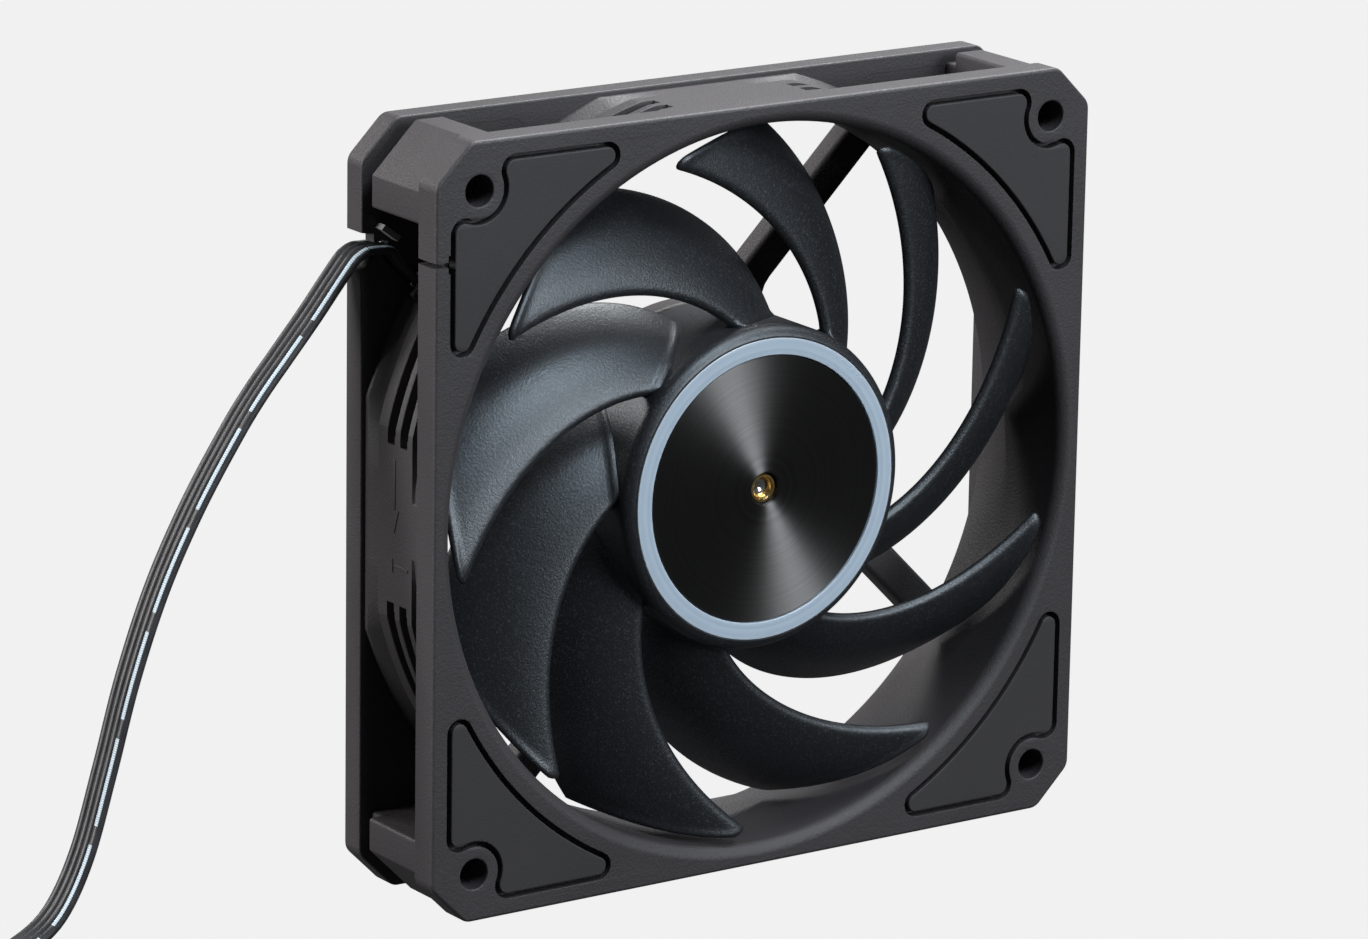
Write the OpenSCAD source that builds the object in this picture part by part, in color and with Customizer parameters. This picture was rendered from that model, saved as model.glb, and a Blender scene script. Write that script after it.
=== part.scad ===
// Axial case fan with a four-wire ribbon cable.
// The fan is drawn lying on its rear face with its intake up (local +Z), then stood on
// its lower edge: world X is to the right seen from the intake, world +Y is the way the
// air goes, and world Z is up from the lower edge.

/* [Housing] */
// Outer width and height of the housing
fan_size = 120; // [110:1:144]
// Depth of the housing from intake face to outlet face
fan_depth = 25; // [25:0.5:38]
// Distance of a mounting hole's middle from the housing's sides
hole_edge = 7.5; // [7:0.1:9]
// Diameter of the mounting holes
hole_d = 4.8; // [4:0.1:5.5]
// Width of the rim left between the air duct and the housing's side
duct_rim = 3.3; // [3:0.1:6]
// Thickness of the duct wall at its ribs
duct_wall = 4.3; // [3.4:0.1:4.6]
// Radius of the rounded intake lip
lip_r = 2; // [1:0.1:2.2]
// Thickness of the intake flange
front_flange = 5; // [4:0.1:6]
// Thickness of the outlet flange
rear_flange = 4.4; // [4:0.1:6]
// Size of the corner chamfers
chamfer = 6.1; // [4:0.1:7]

/* [Corner pads] */
// Thickness of a pad
pad_thick = 2; // [1:0.1:3]
// Gap all round a pad
pad_gap = 0.8; // [0.4:0.1:1]
// Distance of a pad from the housing's outer edge
pad_edge = 3; // [2:0.1:4]
// Distance of a pad from the duct
pad_duct_gap = 4.3; // [3:0.1:5]
// Radius that a pad keeps clear around a mounting hole
pad_hole_r = 4.7; // [4:0.1:5]

/* [Impeller] */
// Number of blades
blades = 9; // [5:1:11]
// Radius of the hub
hub_r = 25.5; // [22:0.1:27]
// Gap between blade tips and duct
tip_gap = 1.2; // [0.8:0.1:2]
// Thickness of a blade at its root
blade_thick = 2; // [1.4:0.1:2.4]
// Angle that a blade's leading edge sweeps forward from root to tip
blade_sweep = 51; // [30:1:55]
// Rise of a blade section's middle line, as a share of its chord
blade_camber = 0.09; // [0.02:0.01:0.12]
// Distance of the light ring from the hub's side
ring_inset = 1.85; // [1.7:0.05:5]
// Width of the light ring
ring_w = 2.65; // [1.5:0.05:3]
// Radius of the centre hole in the hub disc
disc_hole_r = 2.6; // [2.6:0.1:4]

/* [Motor] */
// Radius of the rotor shaft
shaft_r = 1.5; // [1:0.1:2]
// Radial play between shaft and bearing sleeve
shaft_play = 0.05; // [0.02:0.01:0.1]
// Air gap between stator and magnet
air_gap = 0.6; // [0.3:0.05:1]
// Height of the stator lamination stack
stack_h = 7; // [4:0.5:8]
// Radius of the motor base
base_r = 25; // [22:0.5:27]
// Thickness of the motor base
base_thick = 3.5; // [3:0.1:4]
// Width of a strut
strut_w = 5.6; // [4:0.1:8]
// Depth of a plain strut
strut_d = 4; // [3:0.1:6]
// Distance of a strut's middle line from the fan's axis
strut_offset = 11.3; // [0:0.1:14]

/* [Cable] */
// Width of the ribbon: four wires side by side
ribbon_w = 6; // [5:0.1:6.4]
// Thickness of the ribbon
ribbon_t = 1.5; // [1.2:0.1:1.6]
// Length of the stored hank
hank_l = 92; // [90:1:110]
// Width of the hank's end loops
hank_w = 30; // [26:1:32]
// Width of the hank's tied waist
waist_w = 8; // [7:0.5:12]

/* [Hidden] */
$fn = 96;

eps = 0.01;
half = fan_size / 2;
front = fan_depth / 2;
rear = -front;
hole_at = half - hole_edge;
duct_r = half - duct_rim;
barrel_r = duct_r + duct_wall;
outlet_r = duct_r + 3.8;
outlet_flat = half - 2.4;
rear_pad_gap = outlet_r - duct_r + 2.2;
front_flange_z = front - front_flange;
rear_flange_z = rear + rear_flange;
corner = half - chamfer;

// corner columns and the webs that tie them to the duct
post_wall = 5.2;
post_in = hole_at - post_wall;
post_set_in = 1.2;
post_step_h = 2.6;
post_step_d = 2;
web_w = 3;
// grooves round the duct: middle height, and where each ends beside a flat side's middle line
grooves = [[front_flange_z - 1.2, 4.5], [front_flange_z - 4.7, 12.5], [front_flange_z - 8.2, 12.5]];
groove_w = 2;
groove_d = 1.9;
// the duct spreads towards the outlet flange, and its four sides are cut flat
flare_r = barrel_r + 0.9;
flare_neck_r = barrel_r - 1.3;
flare_foot_h = 0.9;
flare_h = 2.8;
flat_at = half - 0.8;

// slit in the intake flange's rim, with a cross slot at its end
slit_w = 0.8;
slit_v = half - 18;
slit_cross = 2.8;

// hub and rotor, heights in the lying position
hub_top = front - 0.2;
hub_bottom = rear + 5.5;
hub_wall = 1.5;
hub_fillet = 2.2;
face_fit = 0.1;
ring_r = hub_r - ring_inset;
ring_bottom = hub_top - 1.6;
disc_top = hub_top - 0.1;
disc_thick = 0.8;
disc_bottom = disc_top - disc_thick;
disc_r = ring_r - ring_w - 0.15;
hub_web_bottom = ring_bottom - 1.7;
bush_r = shaft_r + 0.9;
bush_top = front - 1;
boss_r = bush_r + 1.6;
boss_bottom = hub_web_bottom - 4;
shaft_top = front - 2.1;
yoke_r = hub_r - hub_wall;
yoke_wall = 1;
magnet_wall = 1.7;
magnet_r = yoke_r - yoke_wall;
stator_r = magnet_r - magnet_wall - air_gap;

// fixed side of the motor
base_top = rear + base_thick;
cover_thick = 0.8;
cover_r = base_r - 9;
tube_bottom = rear + 1.5;
tube_top = boss_bottom - 0.5;
sleeve_r = shaft_r + 2;
tube_r = sleeve_r + 1;
thrust_top = tube_bottom + 0.8;
shaft_bottom = thrust_top + 0.05;
clip_z = shaft_bottom + 0.45;
clip_thick = 0.5;
clip_neck_r = shaft_r - 0.3;
sleeve_bottom = clip_z + clip_thick + 0.2;
seal_thick = 0.8;
sleeve_top = tube_top - seal_thick - 0.2;
board_bottom = base_top + 0.6;
board_thick = 1.2;
board_top = board_bottom + board_thick;
board_r = stator_r;
stack_mid = (board_top + hub_web_bottom - yoke_wall) / 2;
stack_top = stack_mid + stack_h / 2;
stack_bottom = stack_mid - stack_h / 2;
wire_over = 2.4;
former_thick = 1;
arm_w = 4;
coil_out = 9;
coil_in_r = tube_r + 3.9;
coil_out_r = stator_r - 4;

// ribbon cable, route points in world X and Z; the width lies along Y
ribbon_z = rear + 0.2;
channel_w = ribbon_t + 0.6;
channel_d = ribbon_w + 0.3;
cable_strut_d = channel_d + 0.9;
lead_in = cover_r - 1;
lead_turn = hub_r + 1;
exit_x = -(half - 0.5);
exit_v = half - 19.7;
notch_high = exit_v + 2.2;
notch = [
    [-half - 1, exit_v - 3.6], [-half + 0.7, exit_v - 2.8], [-half + 3.4, exit_v],
    [-half + 4, exit_v], [-half + 4, notch_high], [-half - 1, notch_high]
];
clip = [
    [-half + 2.4, exit_v + 3.3], [-half + 5.2, exit_v + 1.2],
    [-half + 5.8, exit_v + 1.9], [-half + 3, exit_v + 4]
];
clip_h = 1.9;
ribbon_y = -(ribbon_z + ribbon_w / 2);
fall = [
    [-59.5, 100.3], [-61.4, 99.4], [-64.2, 96.2], [-68.3, 91.2], [-73.1, 85.7],
    [-77.7, 80.4], [-82, 74.6], [-88.5, 64.5], [-94.5, 53], [-99.5, 40],
    [-103.5, 26.5], [-107.5, 14], [-112, 5.8], [-117, 2], [-122, 0.8]
];
floor_run = [[-129, 2, 22], [-136, 3, 55], [-143, 3.5, 80], [-149, 3.7, 90], [-156, 3.7, 90]];
// the cable follows its exit when the housing's size changes
cable_shift = -(exit_x + 59.5);
cable_rise = (half + exit_v) / 100.3;
hank_x = -146 - cable_shift;
hank_y = ribbon_y - hank_w / 2 + 1;
hank_z = 0.7;
tie_w = 3;
tie_wall = 0.7;
plug = [11, 10.2, 5.8];
plug_x = hank_x - hank_l * 0.62;

function arc(cx, cy, r, a0, a1, n = 8) =
    [for (i = [0:n]) let (a = a0 + (a1 - a0) * i / n) [cx + r * cos(a), cy + r * sin(a)]];

module stand() translate([0, 0, half]) rotate([90, 0, 0]) children();
module tube(r_out, r_in, z0, z1) translate([0, 0, z0]) difference() {
    cylinder(r = r_out, h = z1 - z0);
    translate([0, 0, -1]) cylinder(r = r_in, h = z1 - z0 + 2);
}
module disc(r, z0, z1) translate([0, 0, z0]) cylinder(r = r, h = z1 - z0);
module block(x0, x1, y0, y1, z0, z1) translate([x0, y0, z0]) cube([x1 - x0, y1 - y0, z1 - z0]);
module corners() for (x = [0, 1], y = [0, 1]) mirror([x, 0, 0]) mirror([0, y, 0]) children();

// ---------- housing ----------

module flange_outline(s = half, c = corner) polygon([
    [s, c], [c, s], [-c, s], [-s, c], [-s, -c], [-c, -s], [c, -s], [s, -c]
]);

// Outline of one corner pad, drawn for the corner at +X +Y and drawn in by inset all round.
function pad_points(inset, duct_gap) =
    let (
        e = half - pad_edge - inset,
        ri = duct_r + duct_gap + inset,
        rn = pad_hole_r + inset,
        rt = 1.8 - inset,
        rc = 2 - inset,
        tip_v = e - rt,
        tip_u = sqrt(pow(ri + rt, 2) - tip_v * tip_v),
        knee_v = e - rc,
        knee_u = hole_at - sqrt(pow(rn + rc, 2) - pow(knee_v - hole_at, 2)),
        tip_a = atan2(tip_v, tip_u),
        knee_a = atan2(hole_at - knee_v, hole_at - knee_u)
    ) concat(
        arc(tip_u, tip_v, rt, 180 + tip_a, 90, 6),
        arc(knee_u, knee_v, rc, 90, knee_a, 6),
        arc(hole_at, hole_at, rn, 180 + knee_a, 270 - knee_a, 10),
        arc(knee_v, knee_u, rc, 90 - knee_a, 0, 6),
        arc(tip_v, tip_u, rt, 0, -90 - tip_a, 6),
        arc(0, 0, ri, 90 - tip_a, tip_a, 16)
    );

module pad(inset, duct_gap, z0, z1) translate([0, 0, z0])
    linear_extrude(z1 - z0) polygon(pad_points(inset, duct_gap));

// A corner column's outline, drawn in by d on its outer faces. Its slanted face lies deeper
// than the flanges' chamfers.
module post_outline(d) {
    out = half - d;
    slant = half + corner - (post_set_in + d) * sqrt(2) - out;
    polygon([[post_in, post_in], [out, post_in], [out, slant], [slant, out], [post_in, out]]);
}

module posts() corners() {
    translate([0, 0, rear_flange_z - eps]) linear_extrude(post_step_h + 2 * eps)
        post_outline(post_step_d);
    translate([0, 0, rear_flange_z + post_step_h])
        linear_extrude(front_flange_z - rear_flange_z - post_step_h + eps) post_outline(0);
}

module webs() for (a = [45:90:315]) rotate([0, 0, a])
    block(barrel_r - 1, hole_at * sqrt(2) - 5, -web_w / 2, web_w / 2,
        rear_flange_z - eps, front_flange_z + eps);

module barrel() intersection() {
    difference() {
        union() {
            disc(flare_r, rear_flange_z - eps, rear_flange_z + flare_foot_h);
            translate([0, 0, rear_flange_z + flare_foot_h - eps])
                cylinder(r1 = flare_r, r2 = flare_neck_r, h = flare_h + eps);
            disc(barrel_r, rear_flange_z + flare_foot_h + flare_h - eps, front_flange_z + eps);
        }
        for (g = grooves) difference() {
            tube(barrel_r + 1, barrel_r - groove_d, g[0] - groove_w / 2, g[0] + groove_w / 2);
            for (a = [0:90:270]) rotate([0, 0, a]) block(0, half + 2, -g[1], g[1], rear, front);
        }
    }
    block(-flat_at, flat_at, -flat_at, flat_at, rear, front);
}

module intake_and_duct() rotate_extrude() polygon(concat(
    [[0, rear_flange_z - eps], [duct_r, rear_flange_z - eps]],
    arc(duct_r + lip_r, front - lip_r, lip_r, 180, 90, 8),
    [[duct_r + lip_r, front + 1], [0, front + 1]]
));

// The duct opens out through the outlet flange as a cone that four planes cut flat.
module outlet() intersection() {
    translate([0, 0, rear]) cylinder(r1 = outlet_r, r2 = duct_r, h = rear_flange);
    block(-outlet_flat, outlet_flat, -outlet_flat, outlet_flat, rear - 1, rear_flange_z + 1);
}

// Frame of reference of the strut that carries the cable, X along it.
module along_cable_strut() rotate([0, 0, 135]) translate([0, strut_offset, 0]) children();
strut_end = barrel_r + 1.5;
cable_turn = exit_v / sqrt(0.5) + strut_offset;
turn_x = -(cable_turn + strut_offset) * sqrt(0.5);

module struts() {
    for (a = [45:90:315]) rotate([0, 0, a]) translate([0, strut_offset, 0])
        block(10, strut_end, -strut_w / 2, strut_w / 2, rear, rear + strut_d);
    along_cable_strut()
        block(lead_turn, strut_end, -strut_w / 2, strut_w / 2, rear, rear + cable_strut_d);
}

// The wires lie flat under the motor base and stand on edge in the strut.
module cable_channel() {
    along_cable_strut() {
        block(lead_turn, cable_turn + 1, -channel_w / 2, channel_w / 2, rear - 1, rear + channel_d);
        block(lead_in - 0.2, lead_turn + 2, -ribbon_w / 2 - 0.2, ribbon_w / 2 + 0.2,
            rear - 1, rear + ribbon_t + 0.4);
        block(lead_in - 0.2, lead_in + ribbon_t + 0.2, -ribbon_w / 2 - 0.2, ribbon_w / 2 + 0.2,
            rear - 1, base_top + 1);
    }
    block(-half - 1, turn_x + 1, exit_v - channel_w / 2, exit_v + channel_w / 2,
        rear - 1, rear + channel_d);
    translate([0, 0, rear - 1]) linear_extrude(rear_flange + 1 + eps) polygon(notch);
}

module frame() stand() color("#3e3c41") difference() {
    union() {
        difference() {
            union() {
                translate([0, 0, front_flange_z]) linear_extrude(front_flange) flange_outline();
                translate([0, 0, rear]) linear_extrude(rear_flange) flange_outline();
                barrel();
                posts();
                webs();
            }
            intake_and_duct();
            outlet();
        }
        struts();
        disc(base_r, rear, base_top);
        disc(tube_r + 1.7, rear, board_bottom);
    }
    corners() translate([hole_at, hole_at, rear - 1]) cylinder(d = hole_d, h = fan_depth + 2);
    corners() pad(-pad_gap / 2, pad_duct_gap, front - pad_thick, front + 1);
    corners() pad(-pad_gap / 2, rear_pad_gap, rear - 1, rear + pad_thick);
    block(-half - 1, -half + pad_edge, slit_v - slit_w / 2, slit_v + slit_w / 2,
        front_flange_z - 1, front + 1);
    block(-half + pad_edge - slit_w, -half + pad_edge, slit_v - slit_cross / 2, slit_v + slit_cross / 2,
        front_flange_z - 1, front + 1);
    disc(cover_r + face_fit, rear - 1, rear + cover_thick + face_fit);
    disc(tube_r, tube_bottom, front);
    cable_channel();
}

module front_pad() color("#37353a") pad(pad_gap / 2, pad_duct_gap, front - pad_thick, front);
module rear_pad() color("#37353a") pad(pad_gap / 2, rear_pad_gap, rear, rear + pad_thick);
module front_pad_top_left() stand() mirror([1, 0, 0]) front_pad();
module front_pad_top_right() stand() front_pad();
module front_pad_bottom_left() stand() mirror([1, 0, 0]) mirror([0, 1, 0]) front_pad();
module front_pad_bottom_right() stand() mirror([0, 1, 0]) front_pad();
// The pad beside the cable stops at the cable's channel.
module rear_pad_top_left() stand() difference() {
    mirror([1, 0, 0]) rear_pad();
    along_cable_strut() block(0, 2 * half, -channel_w, half, rear - 1, rear + channel_d);
    block(-half, turn_x + 2, 0, notch_high, rear - 1, rear + channel_d);
}
module rear_pad_top_right() stand() rear_pad();
module rear_pad_bottom_left() stand() mirror([1, 0, 0]) mirror([0, 1, 0]) rear_pad();
module rear_pad_bottom_right() stand() mirror([0, 1, 0]) rear_pad();

// ---------- fixed side of the motor ----------

module base_cover() stand() color("#2c2c30") disc(cover_r, rear, rear + cover_thick);
module bearing_tube() stand() color("#b8964e") tube(tube_r, sleeve_r, tube_bottom, tube_top);
module thrust_pad() stand() color("#e8e4d8") disc(sleeve_r, tube_bottom, thrust_top);
module bearing_sleeve() stand() color("#a8763c")
    tube(sleeve_r, shaft_r + shaft_play, sleeve_bottom, sleeve_top);
module oil_seal() stand() color("#1d1d1f")
    tube(sleeve_r, shaft_r + 0.3, tube_top - seal_thick, tube_top);

module arms(r0, r1, w, z0, z1) for (a = [0:90:270]) rotate([0, 0, a])
    block(r0, r1, -w / 2, w / 2, z0, z1);

module stator_core() stand() color("#8d9094") difference() {
    union() {
        disc(tube_r + 3, stack_bottom, stack_top);
        arms(tube_r + 1, stator_r - 1, arm_w, stack_bottom, stack_top);
        difference() {
            tube(stator_r, stator_r - 2.4, stack_bottom, stack_top);
            for (a = [45, 135]) rotate([0, 0, a])
                block(-half, half, -2.5, 2.5, stack_bottom - 1, stack_top + 1);
        }
    }
    disc(tube_r, stack_bottom - 1, stack_top + 1);
}

module former(z0, z1) {
    difference() {
        disc(tube_r + 3, z0, z1);
        disc(tube_r, z0 - 1, z1 + 1);
    }
    arms(tube_r + 1, coil_out_r + 0.9, arm_w + 1, z0, z1);
}
module former_wall(z0, z1) arms(coil_out_r + 0.1, coil_out_r + 0.9, coil_out + 1, z0, z1);
module coil_former_front() stand() color("#dcdad2") {
    former(stack_top, stack_top + former_thick);
    former_wall(stack_top, stack_top + wire_over + 0.2);
}
module coil_former_rear() stand() color("#dcdad2") {
    former(stack_bottom - former_thick, stack_bottom);
    former_wall(stack_bottom - wire_over - 0.2, stack_bottom);
}

module windings() stand() color("#b8643a") for (a = [0:90:270]) rotate([0, 0, a]) difference() {
    block(coil_in_r, coil_out_r, -coil_out / 2, coil_out / 2,
        stack_bottom - wire_over, stack_top + wire_over);
    block(0, half, -arm_w / 2 - 0.5, arm_w / 2 + 0.5,
        stack_bottom - former_thick, stack_top + former_thick);
}

module circuit_board() stand() color("#1f5c3a") tube(board_r, tube_r + 0.4, board_bottom, board_top);
module on_board(a, r, x, y, h) rotate([0, 0, a])
    block(r - x / 2, r + x / 2, -y / 2, y / 2, board_top, board_top + h);
module driver_chip() stand() color("#222224") on_board(45, board_r - 5.7, 4.4, 5, 1.1);
module hall_sensor() stand() color("#2a2a2c") on_board(135, board_r - 2.7, 1.6, 3, 0.9);
module board_parts() stand() color("#b9a888") {
    for (a = [215, 225, 235]) on_board(a, board_r - 4.2, 2.4, 1.4, 0.9);
    on_board(315, board_r - 5.7, 3.6, 2.6, 1.1);
}

// ---------- rotor ----------

function le_angle(u) = 139 + blade_sweep * u + 7 * u * (1 - u) - 4 * max(0, (u - 0.94) / 0.06);
function te_angle(u) = 108 + (blade_sweep + 4) * u;
function le_z(u) = front - 3.9 - 1.2 * u + 3.9 * u * u;
function te_z(u) = rear + 11 - 6.5 * u + 5 * u * u;
section = [[0, 0.1], [0.05, 0.7], [0.2, 0.95], [0.45, 1], [0.75, 0.75], [0.96, 0.4], [1, 0.15]];
blade_root_r = hub_r - 0.4;
blade_tip_r = duct_r - tip_gap;
stations = [0, 0.14, 0.28, 0.42, 0.56, 0.7, 0.84, 0.94, 1];

function blade_point(u, s, side) =
    let (
        r = blade_root_r + (blade_tip_r - blade_root_r) * u,
        a = (le_angle(u) - te_angle(u)) * PI / 180 * r,
        b = le_z(u) - te_z(u),
        chord = norm([a, b]),
        h = 4 * blade_camber * chord * s[0] * (1 - s[0])
            + side * s[1] * (blade_thick - 0.5 * u) / 2,
        along = -a * s[0] - b * h / chord,
        angle = le_angle(u) + along / r * 180 / PI
    ) [r * cos(angle), r * sin(angle), le_z(u) - b * s[0] + a * h / chord];

function blade_ring(u) = concat(
    [for (i = [0:len(section) - 1]) blade_point(u, section[i], 1)],
    [for (i = [len(section) - 1:-1:0]) blade_point(u, section[i], -1)]
);

module blade() {
    n = 2 * len(section);
    m = len(stations);
    points = [for (u = stations) each blade_ring(u)];
    skin = [for (j = [0:m - 2], i = [0:n - 1]) let (
            a = j * n + i, b = j * n + (i + 1) % n, c = b + n, d = a + n
        ) each [[a, c, b], [a, d, c]]];
    last = (m - 1) * n;
    ends = [for (i = [1:n - 2]) each [[0, i, i + 1], [last, last + i + 1, last + i]]];
    polyhedron(points, concat(skin, ends));
}

module hub() difference() {
    rotate_extrude() polygon(concat(
        [[0, hub_bottom], [hub_r, hub_bottom]],
        arc(hub_r - hub_fillet, hub_top - hub_fillet, hub_fillet, 0, 90, 6),
        [[0, hub_top]]
    ));
    disc(yoke_r, hub_bottom - 1, hub_web_bottom);
    tube(ring_r, ring_r - ring_w, ring_bottom, front + 1);
    disc(disc_r + face_fit, disc_bottom, front + 1);
    disc(bush_r, rear, front + 1);
}

module impeller() stand() color("#4a4d54") {
    hub();
    tube(boss_r, bush_r, boss_bottom, hub_web_bottom + eps);
    for (k = [0:blades - 1]) rotate([0, 0, 360 / blades * k]) blade();
}
module light_ring() stand() color("#b4c8d8")
    tube(ring_r, ring_r - ring_w, ring_bottom, front - 0.1);
module hub_disc() stand() color("#4b4b4e") tube(disc_r, disc_hole_r, disc_bottom, disc_top);
module shaft_bush() stand() color("#b98d3f") tube(bush_r, shaft_r, boss_bottom, bush_top);
module rotor_shaft() stand() color("#c9ccd0") difference() {
    disc(shaft_r, shaft_bottom, shaft_top);
    tube(shaft_r + 1, clip_neck_r, clip_z, clip_z + clip_thick);
}
module retaining_clip() stand() color("#6d7075")
    tube(sleeve_r - 0.6, clip_neck_r, clip_z, clip_z + clip_thick);
module rotor_yoke() stand() color("#9b9ea3") {
    tube(yoke_r, yoke_r - yoke_wall, hub_bottom + 0.5, hub_web_bottom);
    tube(yoke_r, boss_r + 3, hub_web_bottom - yoke_wall, hub_web_bottom);
}
module ring_magnet() stand() color("#3b3735")
    tube(magnet_r, magnet_r - magnet_wall, hub_bottom + 1, hub_web_bottom - yoke_wall - 0.6);

// ---------- cable ----------

module cable_lead() stand() color("#232326") {
    along_cable_strut() {
        block(lead_turn + 0.2, cable_turn, -ribbon_t / 2, ribbon_t / 2, ribbon_z, ribbon_z + ribbon_w);
        block(lead_in, lead_turn + 1.8, -ribbon_w / 2, ribbon_w / 2, ribbon_z, ribbon_z + ribbon_t);
        block(lead_in, lead_in + ribbon_t, -ribbon_w / 2, ribbon_w / 2, ribbon_z, board_bottom);
    }
    block(exit_x, turn_x, exit_v - ribbon_t / 2, exit_v + ribbon_t / 2,
        ribbon_z, ribbon_z + ribbon_w);
}
module cable_clip() stand() color("#77777c")
    translate([0, 0, rear_flange_z]) linear_extrude(clip_h) polygon(clip);

// Centre points of the free ribbon and the angle that its width is turned from Y to Z.
route = concat(
    [for (p = fall) [p[0] - cable_shift, ribbon_y, p[1] * cable_rise, 0]],
    [for (p = floor_run) [p[0] - cable_shift, ribbon_y, p[1], p[2]]]
);
ribbon_edge = [[0.5, 0.3], [0.42, 0.5], [-0.42, 0.5], [-0.5, 0.3],
    [-0.5, -0.3], [-0.42, -0.5], [0.42, -0.5], [0.5, -0.3]];
function place(i) = [route[i][0], route[i][1], route[i][2]];
function heading(i) =
    let (v = place(min(i + 1, len(route) - 1)) - place(max(i - 1, 0))) v / norm(v);
function ribbon_ring(i) =
    let (
        t = i == 0 || i == len(route) - 1 ? [-1, 0, 0] : heading(i),
        flat = cross([0, 1, 0], t),
        w = [0, cos(route[i][3]), 0] + flat * sin(route[i][3]),
        n = cross(w, t)
    ) [for (e = ribbon_edge) place(i) + w * e[0] * ribbon_w + n * e[1] * ribbon_t];
module cable() color("#232326") {
    n = len(ribbon_edge);
    m = len(route);
    points = [for (i = [0:m - 1]) each ribbon_ring(i)];
    skin = [for (j = [0:m - 2], i = [0:n - 1]) let (
            a = j * n + i, b = j * n + (i + 1) % n, c = b + n, d = a + n
        ) each [[a, b, c], [a, c, d]]];
    last = (m - 1) * n;
    ends = [for (i = [1:n - 2]) each [[0, i + 1, i], [last, last + i, last + i + 1]]];
    polyhedron(points, concat(skin, ends));
}

module cable_hank() color("#232326") translate([hank_x, hank_y, hank_z]) {
    translate([-hank_w / 2, 0, 0]) cylinder(d = hank_w, h = ribbon_w);
    translate([hank_w / 2 - hank_l, 0, 0]) cylinder(d = hank_w, h = ribbon_w);
    block(hank_w / 2 - hank_l, -hank_w / 2, -waist_w / 2, waist_w / 2, 0, ribbon_w);
}
module cable_tie() color("#303034") translate([hank_x - hank_l / 2, hank_y, 0]) difference() {
    block(-tie_w / 2, tie_w / 2, -waist_w / 2 - tie_wall, waist_w / 2 + tie_wall,
        0, hank_z + ribbon_w + tie_wall);
    block(-tie_w, tie_w, -waist_w / 2, waist_w / 2, hank_z, hank_z + ribbon_w);
}
module plug_body() block(-plug[0], 0, -plug[1] / 2, plug[1] / 2, 0, plug[2]);
pin_pitch = 2.54;
module plug_housing() color("#1f1f22") translate([plug_x, hank_y, hank_z + ribbon_w]) difference() {
    union() {
        plug_body();
        for (y = [-pin_pitch / 2 - 1, pin_pitch / 2 + 1])
            block(-plug[0] + 2, -2, y - 0.5, y + 0.5, 0, plug[2] + 1.2);
    }
    for (k = [-1.5:1:1.5]) block(-plug[0] - 1, 1, pin_pitch * k - 0.9, pin_pitch * k + 0.9, 2, 4);
}
module plug_contacts() color("#c7a452") translate([plug_x, hank_y, hank_z + ribbon_w])
    for (k = [-1.5:1:1.5]) block(-plug[0] + 1.5, -1.5, pin_pitch * k - 0.8, pin_pitch * k + 0.8, 2, 3.9);

frame();
front_pad_top_left();
front_pad_top_right();
front_pad_bottom_left();
front_pad_bottom_right();
rear_pad_top_left();
rear_pad_top_right();
rear_pad_bottom_left();
rear_pad_bottom_right();
base_cover();
bearing_tube();
thrust_pad();
bearing_sleeve();
oil_seal();
stator_core();
coil_former_front();
coil_former_rear();
windings();
circuit_board();
driver_chip();
hall_sensor();
board_parts();
impeller();
light_ring();
hub_disc();
shaft_bush();
rotor_shaft();
retaining_clip();
rotor_yoke();
ring_magnet();
cable_lead();
cable_clip();
cable();
cable_hank();
cable_tie();
plug_housing();
plug_contacts();
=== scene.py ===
# The case fan's looks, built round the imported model. Lengths in the drawing helpers are in
# millimetres, in the lying position: (x, v) across the intake face and h towards the intake.
import math

import bmesh
import bpy
from mathutils import Matrix, Vector
from mathutils.geometry import tessellate_polygon


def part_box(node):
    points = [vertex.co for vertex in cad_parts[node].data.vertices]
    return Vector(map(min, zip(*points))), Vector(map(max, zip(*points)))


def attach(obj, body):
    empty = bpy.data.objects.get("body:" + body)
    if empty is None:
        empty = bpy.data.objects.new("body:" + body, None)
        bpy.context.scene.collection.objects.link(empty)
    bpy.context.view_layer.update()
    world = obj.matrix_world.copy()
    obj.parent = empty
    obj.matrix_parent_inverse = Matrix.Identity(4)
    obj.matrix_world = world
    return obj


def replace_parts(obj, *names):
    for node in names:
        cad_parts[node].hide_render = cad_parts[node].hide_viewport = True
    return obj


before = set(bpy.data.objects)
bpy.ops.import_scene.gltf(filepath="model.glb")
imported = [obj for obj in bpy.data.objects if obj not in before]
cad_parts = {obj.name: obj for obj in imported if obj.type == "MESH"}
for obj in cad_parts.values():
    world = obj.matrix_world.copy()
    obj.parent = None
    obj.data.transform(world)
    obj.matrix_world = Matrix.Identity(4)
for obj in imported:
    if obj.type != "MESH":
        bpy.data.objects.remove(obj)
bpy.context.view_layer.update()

MM = 0.001
frame_low, frame_high = (Vector(c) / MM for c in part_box("frame"))
HALF = (frame_high.x - frame_low.x) / 2
FRONT = (frame_high.y - frame_low.y) / 2
REAR = -FRONT
hub_low, hub_high = (Vector(c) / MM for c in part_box("rotor_yoke"))
HUB_WALL = 1.5
HUB_R = (hub_high.x - hub_low.x) / 2 + HUB_WALL

# Housing
CHAMFER = 6.1
FRONT_BACK = FRONT - 5.0
REAR_FRONT = REAR + 4.4
HOLE_AT = 52.5
HOLE_R = 2.4
DUCT_R = 56.7
RIB_R = 61.0
FLARE_R = 61.9
NECK_R = 59.7
FLAT_AT = HALF - 0.8
LIP_R = 2.0
OUTLET_R = 60.5
OUTLET_FLAT = 57.6
PAD_THICK = 2.0
PAD_GAP = 0.8
FRONT_PAD_FROM_DUCT = 4.3
REAR_PAD_FROM_DUCT = 6.0
STRUT_W = 5.6
STRUT_D = 4.0
STRUT_OFFSET = 11.3
BASE_R = 25.0
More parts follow.
